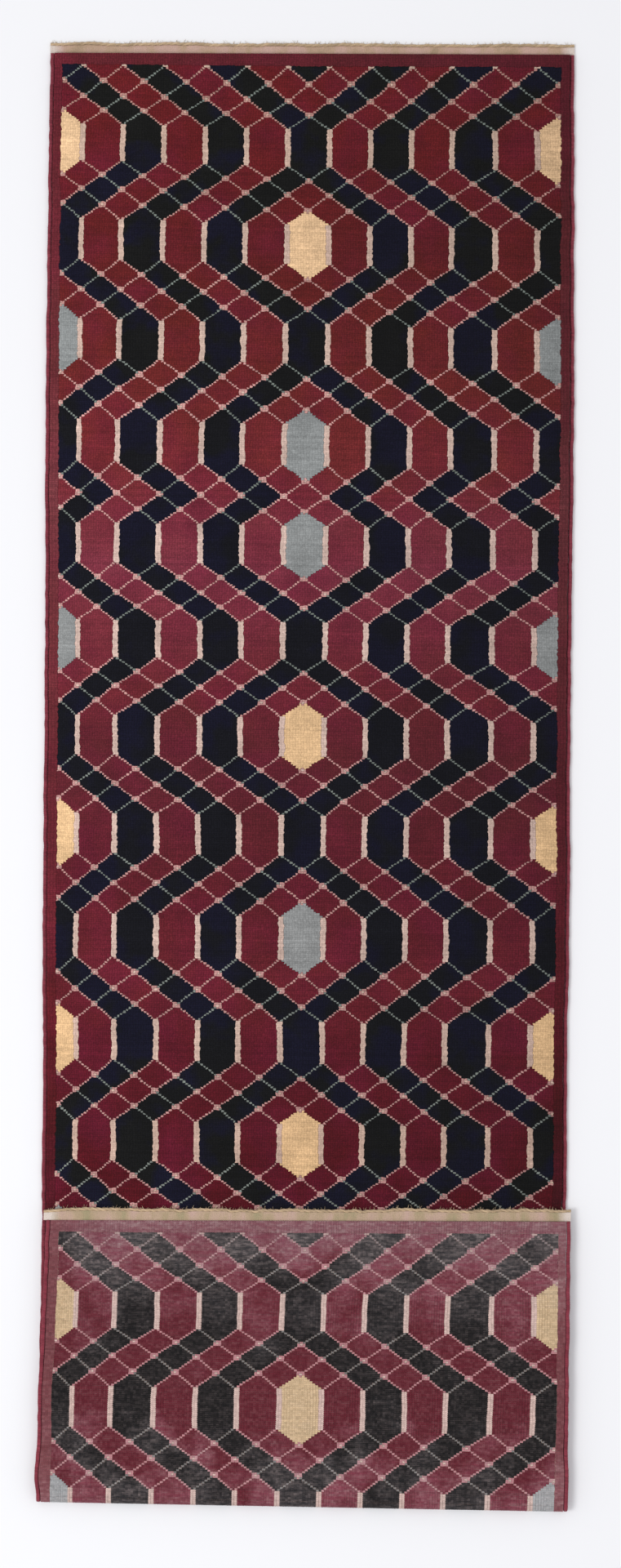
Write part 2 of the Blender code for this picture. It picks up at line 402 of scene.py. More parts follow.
def make_piece(name, points, groups, materials, knot=None):
    """An object from groups of faces: the numbers of their points, their material slots, and their UV chart.

    knot is each point's column, row and height in the weave. It is for the materials, and it lays out two
    UV charts side by side, the pile's and the back's, so that a bake has the weave the right way round."""
    if volume_of(points, groups) < 0:
        groups = [(faces[:, ::-1], slots, chart) for faces, slots, chart in groups]
    mesh = bpy.data.meshes.new(name)
    loops = np.concatenate([faces.ravel() for faces, _, _ in groups])
    sizes = np.concatenate([np.full(len(faces), faces.shape[1]) for faces, _, _ in groups])
    slots = np.concatenate([np.broadcast_to(slots, len(faces)) for faces, slots, _ in groups])
    mesh.vertices.add(len(points))
    mesh.vertices.foreach_set("co", np.asarray(points, np.float32).ravel())
    mesh.loops.add(len(loops))
    mesh.loops.foreach_set("vertex_index", loops.astype(np.int32))
    mesh.polygons.add(len(sizes))
    mesh.polygons.foreach_set("loop_start", (np.cumsum(sizes) - sizes).astype(np.int32))
    mesh.polygons.foreach_set("material_index", slots.astype(np.int32))
    mesh.update(calc_edges=True)
    if knot is not None:
        carry(mesh, "knot", knot)
        charts = np.concatenate([np.full(faces.size, chart) for faces, _, chart in groups])
        low, high = knot.min(axis=0), knot.max(axis=0)
        share = (knot[loops, :2] - low[:2]) / (high[:2] - low[:2])
        share = UV_MARGIN + share * (1 - 2 * UV_MARGIN)
        share[:, 0] = (share[:, 0] + charts) / 2
        layer = mesh.uv_layers.new(name="OFBake")
        layer.data.foreach_set("uv", share.astype(np.float32).ravel())
    for material in materials:
        mesh.materials.append(material)
    mesh.shade_smooth()
    mesh.set_sharp_from_angle(angle=SHARP_ANGLE)
    return new_object(name, mesh)


def tube_walls(rings):
    """Four-sided faces between rings of points, given by number."""
    turned = np.roll(rings, -1, axis=1)
    return np.stack([rings[:-1], turned[:-1], turned[1:], rings[1:]], axis=-1).reshape(-1, 4)


def tube(name, stations, sides, shape, place, material):
    """A closed tube. shape gives x, d and z on the flat rug from how far along it is and the angle round."""
    angles = np.arange(sides) * 2 * math.pi / sides
    along, around = np.meshgrid(stations, angles, indexing="ij")
    x, d, z = shape(along, around)
    points = place(x, d, z).reshape(-1, 3)
    ring = np.arange(len(stations) * sides).reshape(-1, sides)
    groups = [(tube_walls(ring), 0, 0), (ring[:1, ::-1], 0, 0), (ring[-1:], 0, 0)]
    piece = make_piece(name, points, groups, [material])
    carry(piece.data, "tube", np.stack([along, around / (2 * math.pi), z], axis=-1))
    return piece


# ------ knots

# In metres: how far a piece's outer knots keep inside its edge and lie lower, and how uneven the tufts'
# tops and the back's nodules are
INSET = 0.00012
EDGE_DROP = 0.00035
TUFT_HEIGHT = 0.00035
NODULE_HEIGHT = 0.0006
ROW_SPACING = (LENGTH - 2 * BAND_END) / (LAST_ROW - FIRST_ROW + 1)

# In knots: the most that a tuft leans, the share of it that shows on the back, and how much wider the
# upright bars are on each side
TUFT_LEAN = 0.26
BACK_LEAN = 0.4
BAR_SPREAD = 0.08

CORNER_ROWS = np.arange(FIRST_ROW, LAST_ROW + 2) - 0.5
CORNER_COLUMNS = np.arange(-LAST_COLUMN, LAST_COLUMN + 2) - 0.5
CORNER_GRID = (len(CORNER_ROWS), len(CORNER_COLUMNS))


def corner_chances():
    """How high each corner of the tufts is, from 0 to 1, and how far it leans across and down, in knots: not
    at all at an edge or round the fold."""
    random = np.random.RandomState(5)
    heights = random.uniform(0, 1, CORNER_GRID)
    leans = random.uniform(-TUFT_LEAN, TUFT_LEAN, (2, *CORNER_GRID))
    leans[:, :, :2] = leans[:, :, -2:] = 0
    still = (CORNER_ROWS < FIRST_ROW + 1) | (CORNER_ROWS > LAST_ROW - 1)
    still |= (CORNER_ROWS > FOLD_FIRST_ROW - 3) & (CORNER_ROWS < FOLD_LAST_ROW + 3)
    leans[:, still] = 0
    return heights, leans


def bar_spread():
    """How far corners by the bars lie across from their own place: the bars' thicker wool spreads them, and
    they stand in line with the points of the hexagons."""
    side = np.where(np.abs(CORNER_COLUMNS) < FIELD_HALF, np.sign(CORNER_COLUMNS), 0)
    from_bar = np.abs(CORNER_COLUMNS) % COLUMN_PITCH - COLUMN_PITCH / 2 + (BAR_WIDTH - 1) / 2
    wider = np.where(np.abs(from_bar) == BAR_WIDTH / 2, np.sign(from_bar) * side * BAR_SPREAD, 0)
    centred = np.clip(1 - np.abs(from_bar) / (COLUMN_PITCH / 2 - 0.5), 0, 0.85) / 0.85
    outward = side * centred / 2
    from_middle = np.abs(CORNER_ROWS - np.round(CORNER_ROWS / ROW_PITCH) * ROW_PITCH)
    by_bar = np.clip((BAR_HALF_LENGTH + 4 - from_middle) / 4, 0, 1)
    return wider * (from_middle < BAR_HALF_LENGTH)[:, None] + outward * by_bar[:, None]


CORNER_HEIGHTS, LEANS = corner_chances()
BAR_SHIFTS = bar_spread()


def knot_solid(name, first_row, last_row, place, low, high, knotted_back=False, only=None):
    """A closed solid of the knots in some rows, or only those of one yarn, between the heights low and high.

    Each knot is a four-sided cell. Where two knots of the piece touch only at a corner they don't share it,
    so that the solid stays a proper one. With a knotted back each knot shows as two bumps there, one on each
    of its warps."""
    yarns = GRID[first_row - FIRST_ROW:last_row - FIRST_ROW + 1]
    cells = np.ones(yarns.shape, bool) if only is None else yarns == only
    padded = np.pad(cells, 1)
    nw, ne, sw, se = (padded[:-1, :-1], padded[:-1, 1:], padded[1:, :-1], padded[1:, 1:])
    used = nw | ne | sw | se
    split = (nw == se) & (ne == sw) & (nw != ne)
    inner = nw & ne & sw & se
    count = int(used.sum())
    northern = np.cumsum(used).reshape(used.shape) - 1
    southern = np.where(split, count + np.cumsum(split).reshape(split.shape) - 1, northern)
    total = count + int(split.sum())

    nw, ne, sw, se = (quarter.astype(int) for quarter in (nw, ne, sw, se))
    east = np.where(split, ne - nw, np.sign(ne + se - nw - sw))
    down = np.where(split, -1, np.sign(sw + se - nw - ne))
    i, j = np.concatenate([np.nonzero(used), np.nonzero(split)], axis=1)
    column = j - LAST_COLUMN - 0.5 + np.concatenate([east[used], (se - sw)[split]]) * INSET / KNOT_WIDTH
    row = i + first_row - 0.5 + np.concatenate([down[used], np.ones(total - count)]) * INSET / ROW_SPACING
    corner = i + first_row - FIRST_ROW
    top = high - TUFT_HEIGHT * CORNER_HEIGHTS[corner, j] - EDGE_DROP * ~inner[i, j]
    bottom = low + (NODULE_HEIGHT if knotted_back else 0.0)
    across, along = LEANS[:, corner, j]
    shift = BAR_SHIFTS[corner, j]
    lists = [
        (column, row, top, across + shift, along),
        (column, row, np.full(total, bottom), across * BACK_LEAN + shift, along * BACK_LEAN),
    ]

    ci, cj = np.nonzero(cells)
    corner_nw, corner_ne = southern[ci, cj], southern[ci, cj + 1]
    corner_sw, corner_se = northern[ci + 1, cj], northern[ci + 1, cj + 1]
    found, pile_slots = np.unique(yarns[cells], return_inverse=True)
    back_slots = pile_slots + len(found)
    materials = [finishes[yarn] for finishes in (PILES, BACKS) for yarn in found]
    groups = [(np.stack([corner_nw, corner_sw, corner_se, corner_ne], axis=-1), pile_slots, 0)]
    back_nw, back_ne, back_se, back_sw = (c + total for c in (corner_nw, corner_ne, corner_se, corner_sw))
    north_middle, south_middle = [], []
    if knotted_back:
        above, below = padded[:-1, 1:-1], padded[1:, 1:-1]
        edges = above | below
        numbers = 2 * total + np.cumsum(edges).reshape(edges.shape) - 1
        north_middle, south_middle = [numbers[ci, cj]], [numbers[ci + 1, cj]]
        ei, ej = np.nonzero(edges)
        edge_row = ei + first_row - 0.5 + (below.astype(int) - above)[edges] * INSET / ROW_SPACING
        still = np.zeros(len(ei))
        lists.append((ej - float(LAST_COLUMN), edge_row, still + bottom, still, still))
        bulge = (CORNER_HEIGHTS[ci + first_row - FIRST_ROW, cj] - 0.5) * TUFT_HEIGHT
        still = np.zeros(len(ci))
        for side in (-0.25, 0.25):
            lists.append((cj - LAST_COLUMN + side, ci + float(first_row), low + bulge, still, still))
        west = 2 * total + len(ei) + np.arange(len(ci))
        halves = [
            (west, [back_nw, *north_middle, *south_middle, back_sw]),
            (west + len(ci), [*north_middle, back_ne, back_se, *south_middle]),
        ]
        for centre, ring in halves:
            for a, b in zip(ring, ring[1:] + ring[:1]):
                groups.append((np.stack([a, b, centre], axis=-1), back_slots, 1))
    else:
        groups.append((np.stack([back_nw, back_ne, back_se, back_sw], axis=-1), back_slots, 1))

    sides = [
        (padded[1:-1, :-2], corner_nw, corner_sw, []),
        (padded[1:-1, 2:], corner_se, corner_ne, []),
        (padded[:-2, 1:-1], corner_ne, corner_nw, north_middle),
        (padded[2:, 1:-1], corner_sw, corner_se, south_middle),
    ]
    for neighbours, a, b, middle in sides:
        free = ~neighbours[cells]
        walls = np.stack([points[free] for points in (a, a + total, *middle, b + total, b)], axis=-1)
        groups.append((walls, pile_slots[free], 0))

    column, row, height, across, along = (np.concatenate(values) for values in zip(*lists))
    x, d = knots(column + across, row + along)
    knot = np.stack([column, row, height], axis=-1)
    return make_piece(name, place(x, d, height), groups, materials, knot)


# ------ materials


def shade(code):
    """Linear colour of a six-figure hexadecimal one."""
    parts = [int(code[at:at + 2], 16) / 255 for at in (0, 2, 4)]
    linear = [part / 12.92 if part <= 0.04045 else ((part + 0.055) / 1.055) ** 2.4 for part in parts]
    return (*linear, 1)


def arithmetic(operation):
    def method(value, *others):
        return value.finish.math(operation, value, *others)
    return method


class Value:
    """An output of one of a material's nodes. Sums and products of values add the nodes for them."""

    def __init__(self, finish, socket):
        self.finish, self.socket = finish, socket

    __add__, __sub__ = arithmetic("ADD"), arithmetic("SUBTRACT")
    __mul__, __truediv__ = arithmetic("MULTIPLY"), arithmetic("DIVIDE")
    __abs__ = arithmetic("ABSOLUTE")

    def between(self, low, high, start=0.0, stop=1.0):
        inputs = {"Value": self, "From Min": low, "From Max": high, "To Min": start, "To Max": stop}
        return self.finish.add("MapRange", inputs)

    def scaled(self, amount):
        """A colour made brighter or darker by a number."""
        return self.finish.add("VectorMath", {0: self, 3: amount}, operation="SCALE")


class Finish:
    """A material under construction: each call adds one node and gives its output."""

    def __init__(self, name):
        self.material = bpy.data.materials.new(name)
        self.material.use_nodes = True
        self.tree = self.material.node_tree
        self.shader = self.tree.nodes["Principled BSDF"]

    def feed(self, socket, value):
        if isinstance(value, Value):
            self.tree.links.new(value.socket, socket)
        else:
            socket.default_value = value

    def add(self, kind, inputs, output=0, **settings):
        made = self.tree.nodes.new("ShaderNode" + kind)
        for setting, value in settings.items():
            setattr(made, setting, value)
        for key, value in inputs.items():
            self.feed(made.inputs[key], value)
        return Value(self, made.outputs[output])

    def weave(self, name):
        """The three numbers that a mesh carries for each point, such as column, row and height."""
        return self.parts(self.add("Attribute", {}, output=1, attribute_name=name))

    def parts(self, vector):
        made = self.tree.nodes.new("ShaderNodeSeparateXYZ")
        self.feed(made.inputs[0], vector)
        return [Value(self, socket) for socket in made.outputs]

    def math(self, operation, *values):
        return self.add("Math", dict(enumerate(values)), operation=operation)

    def join(self, x=0.0, y=0.0, z=0.0):
        return self.add("CombineXYZ", {0: x, 1: y, 2: z})

    def space(self):
        """Places in metres on the object."""
        return self.add("TexCoord", {}, output=3)

    def noise(self, vector, scale, detail=2.0, roughness=0.5):
        inputs = {"Vector": vector, "Scale": scale, "Detail": detail, "Roughness": roughness}
        return self.add("TexNoise", inputs)

    def chance(self, vector):
        """An even random number for each different vector."""
        return self.add("TexWhiteNoise", {"Vector": vector})

    def mix(self, factor, a, b):
        return self.add("Mix", {0: factor, 6: a, 7: b}, output=2, data_type="RGBA")

    def ramp(self, value, stops):
        made = self.tree.nodes.new("ShaderNodeValToRGB")
        self.feed(made.inputs[0], value)
        elements = made.color_ramp.elements
        while len(elements) < len(stops):
            elements.new(0.5)
        for element, (position, code) in zip(elements, stops):
            element.position, element.color = position, shade(code)
        return Value(self, made.outputs[0])

    def coat(self, inputs):
        for key, value in inputs.items():
            self.feed(self.shader.inputs[key], value)

    def wool(self, colour, height, bump, sheen, distance=0.001):
        normal = self.add("Bump", {"Height": height, "Strength": bump, "Distance": distance})
        self.coat({"Base Color": colour, "Normal": normal, "Roughness": 0.9, "Specular IOR Level": 0.15,
                   "Sheen Weight": sheen, "Sheen Roughness": 0.5})
        return self.material


# How each yarn changes along the rug: mostly dye lots, while the border and the red grow darkest towards
# where the flap's end lies on the long stretch. Places are rows of hexagons, counted from the far end.
LOTS = {
    BORDER: [(0, "5d1f26"), (3.4, "662a2e"), (4.4, "70353a"), (6, "6b2c31"), (7.2, "5c2027"), (8.5, "621f28"),
             (10, "551419"), (11.2, "430f15"), (17, "5c1a28")],
    RED: [(0, "65191d"), (2, "5f1a1c"), (3, "68211f"), (4.2, "75282a"), (5.2, "7e3241"), (6.4, "6c242c"),
          (7.4, "5d2028"), (8.6, "5f1b25"), (9.3, "681f28"), (10.2, "59141f"), (11.5, "500d17"),
          (17, "60202c")],
    NAVY: [(0, "141413"), (3, "131313"), (5, "121219"), (9, "121218"), (11, "131313"), (17, "121213")],
    IVORY: [(0, "c4a796"), (5, "ceb2a6"), (9, "c9ada0"), (11, "c0a292"), (17, "c8ada1")],
    GOLD: [(0, "e3bd93"), (8, "dfb88a"), (11, "d9b285"), (17, "d8b07c")],
    GREY: [(0, "8d9190"), (9, "8f908f"), (17, "949494")],
    ROSE: [(0, "b2837a"), (4, "cc9892"), (6, "c5918d"), (10, "b48681"), (17, "c08a88")],
    SLATE: [(0, "767e77"), (9, "787e78"), (17, "787b74")],
}

# Dyes that took unevenly: their other cast, from where to where in the noise it grows, and the most of it
UNEVEN_DYES = {
    RED: ("6c1834", 0.4, 0.68, 0.42), BORDER: ("6c1830", 0.4, 0.68, 0.3), NAVY: ("121124", 0.45, 0.57, 0.85),
}

# Painted light: the pile is painted brighter on the left of the rug and darker on the right, as light from
# the left falls on it, the border most of all
SIDE_LIGHT_FALLOFF = 0.17
BORDER_LIGHT_FALLOFF = 0.27

# Pale yarns show less of the shade between their fibres
PALE_YARNS = (GOLD, GREY, IVORY)

# The tint of each yarn's sheen, where it isn't the reds' one
RED_SHEEN = "d8a8a0"
SHEENS = {NAVY: "505868", SLATE: "8c9690", IVORY: "fff0e0", GOLD: "ffe8c0"}

# Each yarn's colour on the back, where it has kept its dye and where it is rubbed paler, which by the fold is
# partly a painted highlight
BACK_COLOURS = {
    BORDER: ("764045", "885158"), RED: ("64222d", "84404e"), NAVY: ("1c1a1b", "323032"),
    IVORY: ("cdb1a8", "cdb3aa"), GOLD: ("ccb08c", "ccb290"), GREY: ("9fa0a1", "a5a5a6"),
    ROSE: ("b88085", "bb9094"), SLATE: ("777472", "858382"),
}

# Rows of knots over which the back gets paler towards the fold, partly wear and partly a painted highlight,
# and rubbed paler towards the end, and over which the end's own bloom comes in
FOLD_WEAR_AND_HIGHLIGHT = (768.0, 720.0)
END_RUB = (815.0, 880.0)
END_BLOOM = (852.0, 876.0)


def dyed(finish, yarn, row, space):
    """The colour of a yarn's dye lots, with uneven joins between them."""
    wander = finish.noise(finish.join(y=row * 0.02), 1.0)
    drift = finish.noise(space, 7.0, detail=3.0)
    moved = row + (wander * 40.0 - 20.0) + (drift * 36.0 - 18.0)
    stops = [(min(max((at - 1) * ROW_PITCH / LAST_ROW, 0), 1), code) for at, code in LOTS[yarn]]
    return finish.ramp(moved / LAST_ROW, stops)


def knot_parts(finish):
    """Column and row inside the nearest knot, from -0.5 to 0.5, the knot's own numbers, and the weave."""
    weave = finish.weave("knot")
    whole = [finish.math("ROUND", part) for part in weave[:2]]
    inside = [part - number for part, number in zip(weave, whole)]
    return inside, finish.join(*whole), weave


def pile_finish(yarn):
    """Cut wool: each tuft in its own tone, with a soft crown, painted shade towards its edges and lower in
    the pile, fibres that run on past its edges, and painted light brighter on the rug's left.
    """
    finish = Finish("pile_" + YARNS[yarn])
    (across, down), knot, (column, row, height) = knot_parts(finish)
    space = finish.space()
    x, y, z = finish.parts(space)
    colour = dyed(finish, yarn, row, space)
    if yarn in UNEVEN_DYES:
        code, low, high, most = UNEVEN_DYES[yarn]
        cast = finish.noise(finish.join(x, y, 0.3), 15.0, detail=3.0)
        colour = finish.mix(cast.between(low, high, 0.0, most), colour, shade(code))
    # Painted light: brighter on the left of the rug, darker on the right
    side = column * (-(BORDER_LIGHT_FALLOFF if yarn == BORDER else SIDE_LIGHT_FALLOFF) / LAST_COLUMN) + 1.0
    streaks = finish.noise(finish.join(y=row * 0.55), 1.0, detail=3.0).between(0.3, 0.7, 0.87, 1.13)
    tuft = finish.chance(knot).between(0, 1, 0.9, 1.1)
    patches = finish.noise(space, 26.0, detail=4.0).between(0.3, 0.7, 0.86, 1.14)
    strands = finish.noise(finish.join(x, y * 0.4, z * 0.4), 720.0, detail=3.0, roughness=0.6)
    contrast = 0.6 if yarn in PALE_YARNS else 1.0
    fibres = strands.between(0.3, 0.7, 1.01 - 0.39 * contrast, 1.01 + 0.39 * contrast)
    frayed = finish.math("SQRT", across * across + down * down) + (strands * 0.5 - 0.25)
    # Painted shade: each tuft darker towards its edges, where it meets the next
    painted_edge_shade = frayed.between(0.2, 0.62, 1.08, 1.08 - 0.36 * contrast)
    # Painted shade: the pile's sides darker the lower they go
    painted_depth_shade = height.between(THICKNESS * 0.55, THICKNESS * 0.95, 0.55, 1.0)
    colour = colour.scaled(streaks * tuft * patches * fibres * painted_edge_shade * painted_depth_shade * side)
    bump = frayed * frayed * -1.4 + strands * 0.9
    finish.coat({"Sheen Tint": shade(SHEENS.get(yarn, RED_SHEEN))})
    return finish.wool(colour, bump, 0.7, sheen=0.04 if yarn == NAVY else 0.2, distance=0.0016)


def back_finish(yarn):
    """The back of the knots, two nodules each, with painted shade in the valleys round them: rubbed paler in
    patches, most of all by the end, but not at the end's left side, and paler by the fold, partly from wear
    and partly as a painted highlight."""
    finish = Finish("back_" + YARNS[yarn])
    (across, down), knot, (column, row, _) = knot_parts(finish)
    space = finish.space()
    chance = finish.chance(knot)
    drift = finish.noise(space, 16.0, detail=5.0, roughness=0.6) * 190.0 - 95.0
    from_side = column.between(-FIELD_HALF - 1.0, -FIELD_HALF + 10.0, 0.2, 1.0)
    end = (row + drift).between(*END_RUB) * from_side
    # Paler towards the fold: partly wear, partly a painted highlight where the back curves over
    worn_and_fold_highlight = finish.math("MAXIMUM", end, (row - drift).between(*FOLD_WEAR_AND_HIGHLIGHT))
    very_end = (row + drift * 0.25).between(*END_BLOOM) * from_side
    streak_noise = finish.noise(finish.join(column * 0.16, row * 0.55), 1.0, detail=4.0, roughness=0.7)
    spotted = streak_noise.between(0.4, 0.8) * chance.between(0, 1, 0.4, 1.6)
    bare = abs(down).between(0.32, 0.5) * chance.between(0.4, 1.0, 0.0, 0.2)
    showing = spotted * (worn_and_fold_highlight * 0.26 + very_end * 0.2 + 0.06) + bare
    valley = finish.math("MAXIMUM", abs(abs(across) - 0.25) * 2.0, abs(down))
    row_tone = finish.noise(finish.join(y=row * 0.6), 1.0, detail=3.0).between(0.3, 0.7, 0.94, 1.14)
    tone = chance.between(0, 1, -0.14, 0.14) + row_tone
    fibres = finish.noise(space, 1300.0, detail=3.0).between(0.3, 0.7, 0.8, 1.2)
    # Painted shade: darker in the valleys between and round the nodules
    light = tone * valley.between(0.3, 0.5, 1.06, 0.78) * fibres
    kept, worn_and_highlit = BACK_COLOURS[yarn]
    colour = finish.mix(worn_and_fold_highlight, shade(kept), shade(worn_and_highlit)).scaled(light)
    most, bloom = (0.2, "605c5e") if yarn == NAVY else (0.42, "7e5560")
    colour = finish.mix(very_end * most, colour, shade(bloom))
    colour = finish.mix(showing, colour, shade("b4a29f"))
    bump = finish.noise(space, 900.0) * 0.6 - valley * valley * 2.4
    return finish.wool(colour, bump, 0.6, sheen=0.06)


def yarn_finish(name, light, dark, pitch, slant=1.0):
    """Wound yarn: each turn in its own tone, with strands along it, and painted shade in the grooves between
    turns and strands.
    """
    finish = Finish(name)
    along, around, _ = finish.weave("tube")
    space = finish.space()
    turn = along / pitch + around * slant + finish.noise(space, 60.0) * 0.8
    crown = finish.math("PINGPONG", turn, 0.5)
    strand = finish.math("PINGPONG", turn * 4.0, 0.5)
    fibres = finish.noise(space, 1500.0, detail=3.0)
    colour = finish.mix(finish.noise(space, 30.0, detail=4.0), shade(dark), shade(light))
    # Painted shade: each turn and strand lighter on its crown, darker in the grooves between
    tone = crown * 0.5 + fibres.between(0.3, 0.7, 0.56, 0.96) + strand * 0.3
    chance = finish.chance(finish.join(finish.math("FLOOR", turn)))
    colour = colour.scaled(tone * chance.between(0, 1, 0.82, 1.18))
    return finish.wool(colour, strand * 0.35 + crown + fibres * 0.7, 0.7, sheen=0.15)


def band_finish(name, codes):
    """Plain weave of undyed wool: ribbed warps with painted shade between the ribs, in creams and pinks,
    paler at its ends.
    """
    finish = Finish(name)
    along, around, _ = finish.weave("tube")
    space = finish.space()
    tones = finish.noise(finish.join(along * 34.0, finish.math("SINE", around)), 1.0, detail=4.0)
    colour = finish.ramp(tones, list(zip((0.32, 0.44, 0.54, 0.66), codes)))
    tip = abs(along).between(END_HALF_WIDTH - 0.022, END_HALF_WIDTH - 0.006)
    colour = finish.mix(tip, colour, shade("e2d3c8"))
    warps = finish.math("PINGPONG", along / WARP_SPACING, 0.5)
    fibres = finish.noise(space, 900.0, detail=3.0)
    # Painted shade: darker in the grooves between the warps' ribs
    tone = warps * 0.3 + fibres.between(0.3, 0.7, 0.72, 1.02)
    return finish.wool(colour.scaled(tone), warps + fibres * 0.6, 0.6, sheen=0.15)


def undyed_finish(name, dark, light, waves):
    """Undyed yarn with sets of ridges, painted darker in the hollows between them as shade: the scale,
    distortion and direction of each.
    """
    finish = Finish(name)
    space = finish.space()
    ridges = []
    for scale, distortion, way in waves:
        inputs = {"Vector": space, "Scale": scale, "Distortion": distortion}
        ridges.append(finish.add("TexWave", inputs, bands_direction=way))
    height = math.prod(ridges[1:], start=ridges[0])
    # Painted shade: darker in the hollows between the ridges
    return finish.wool(finish.mix(height, shade(dark), shade(light)), height, 0.5, sheen=0.1)


PILES = [pile_finish(yarn) for yarn in range(len(YARNS))]
BACKS = [back_finish(yarn) for yarn in range(len(YARNS))]
WRAP = yarn_finish("selvedge_yarn", "98424f", "762b38", WIND_PITCH)
CORD = yarn_finish("end_cord_yarn", "d3b897", "a88f6e", TWIST_PITCH, slant=2.0)
BANDS = [
    band_finish("kilim_wool_far", ["b0977c", "c3a58c", "cbaa99", "d0aea0"]),
    band_finish("kilim_wool_near", ["a59a78", "b59f81", "c1a68e", "c8a89a"]),
]
CLOTH = undyed_finish("foundation_cloth", "8d6f62", "cdb9a6", [(90.0, 1.0, "X"), (60.0, 1.5, "Y")])
CORE = undyed_finish("warp_bundle", "9c8468", "d3bf9f", [(160.0, 4.0, "DIAGONAL")])


# ------ the pieces

STRETCHES = ["main", "fold_1", "fold_2", "fold_3", "flap"]

# Heights in the rug: the top of the knotted back round the fold, the bottom and top of the pile inside it,
# and the two faces of the woven cloth
SKIN = 0.0028
STRIP_LOW, STRIP_HIGH = 0.0033, THICKNESS - 0.0002
CLOTH_LOW, CLOTH_HIGH = 0.0008, 0.0022

# How far the flap hangs down at its end, and how much each end wavers
DROOP = np.array([(LENGTH - 0.05, 0), (LENGTH, 0.0035)]).T
NEAR_WAVER = 0.002
FAR_WAVER = 0.0012

# The near end's left corner is tied off: it is rounded, and reaches a little past the selvedge
CORNER_X = 0.375
CORNER_DROP = 0.0035
CORNER_REACH = 0.0045

WARP_ENDS = 200
HAIR_RADIUS = 0.0003
CORE_RADIUS = 0.0013
WRAP_RIDGE, CORE_RIDGE = 0.09, 0.1
CLOTH_SWELL = 0.0002

# What wound yarn keeps inside its box of the frame
INSIDE = 0.0001


def pile(stretch, first, last, knotted_back):
    """One piece for each yarn of a long stretch of pile."""
    made = []
    for yarn, name in enumerate(YARNS):
        piece = knot_solid(f"pile_{name}_{stretch}", first, last, folded, 0.0, THICKNESS, knotted_back, yarn)
        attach(piece, stretch)
        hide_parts("pile_" + stretch)
        made.append(piece)
    return made


def bend(piece):
    """Bakes a piece's place into its points; it is put on no stretch."""
    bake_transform(piece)


def fold_backs():
    """The knotted back round the fold, a piece for each fold line."""
    made = []
    for step in range(FOLD_LINES):
        first = FOLD_FIRST_ROW + step * ROWS_PER_STEP
        last = first + ROWS_PER_STEP - 1
        piece = knot_solid(f"fold_back_{step + 1}", first, last, folded, 0.0, SKIN, True)
        bend(piece)
        made.append(piece)
    return made


def fold_piles():
    """The pile inside the fold, a stiff strip for each stretch that turns."""
    made = []
    last = FOLD_FIRST_ROW - 1
    for index, stretch in enumerate(STRETCHES):
        first = last + 1
        last = min(first + (ROWS_PER_STEP if index else 2) - 1, FOLD_LAST_ROW)
        piece = knot_solid(f"fold_pile_{stretch}", first, last, folded_stiff(index), STRIP_LOW, STRIP_HIGH)
        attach(piece, stretch)
        made.append(piece)
    return made


def fuller(wave, power):
    """A cosine or sine with squarer shoulders, for a section with flatter sides."""
    return np.sign(wave) * np.abs(wave) ** power


def selvedge_shape(side, reach_across, reach_up, ridge):
    """Wool wound round the edge's warps: each turn leans a little, and no two are alike."""
    def shape(along, around):
        uneven = soft_noise(along / 0.009, side * 5 + 20, 32)
        turn = 2 * math.pi * along / WIND_PITCH + around + 2.2 * uneven
        swell = 1 - ridge + ridge * (0.7 + 0.3 * uneven) * np.cos(turn)
        loose = 0.96 + 0.04 * soft_noise(along / 0.02, side * 9, 31)
        x, d = laid(side * (PILE_WIDTH + SELVEDGE_WIDTH) / 2, along)
        x = x + reach_across * swell * loose * fuller(np.cos(around), 0.65)
        z = SELVEDGE_HEIGHT / 2 + reach_up * swell * loose * fuller(np.sin(around), 0.65)
        return x, d, z
    return shape


def evenly(start, stop, spacing):
    return np.linspace(start, stop, max(2, round((stop - start) / spacing) + 1))


def selvedges():
    """The wound edges and the bundles of warp in them, by the stretch that they are on."""
    made = {"main": [], "flap": [], "fold": []}
    for side, name in ((-1, "left"), (1, "right")):
        wrap = selvedge_shape(side, SELVEDGE_WIDTH / 2 - INSIDE, SELVEDGE_HEIGHT / 2 - INSIDE, WRAP_RIDGE)
        core = selvedge_shape(side, CORE_RADIUS, CORE_RADIUS, CORE_RIDGE)
        parts = (("wrap", wrap, WIND_PITCH / 4, 12, WRAP, "selvedge_wool"),
                 ("core", core, 0.004, 8, CORE, "core_cord"))
        for stretch, start, stop in (("main", BAND_END, FOLD_START), ("flap", FOLD_END, LENGTH - BAND_END)):
            for part, shape, spacing, sides, finish, slot in parts:
                node = f"selvedge_{part}_{name}_{stretch}"
                piece = tube(node + "_yarn", evenly(start, stop, spacing), sides, shape, folded, finish)
                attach(piece, stretch)
                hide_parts(node)
                made[stretch].append(piece)
        for step in range(FOLD_LINES):
            start = FOLD_START + step * STEP
            turns = evenly(start, start + STEP, WIND_PITCH / 4)
            piece = tube(f"fold_selvedge_{name}_{step + 1}", turns, 12, wrap, folded, WRAP)
            bend(piece)
            if step < FOLD_LINES - 1:
                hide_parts(f"selvedge_wrap_{name}_fold_{step + 1}")
            made["fold"].append(piece)
    return made


def drooping(x, d, z):
    """Like folded, with the flap's end hanging down a little towards the pile under it."""
    return folded(x, d, z + eased(d, DROOP))


def end_waver(x, near):
    """How far out the rug's end reaches at x: it wavers, and one corner is rounded."""
    x = np.asarray(x, float)
    waver = soft_noise(x / 0.05 + 50 * near, 0, 41 + near) + 0.6 * soft_noise(x / 0.012, 0, 47)
    corner = np.clip((-x - CORNER_X) / (END_HALF_WIDTH - CORNER_X), 0, 1) ** 1.5
    return NEAR_WAVER * waver - CORNER_DROP * corner if near else -FAR_WAVER * waver


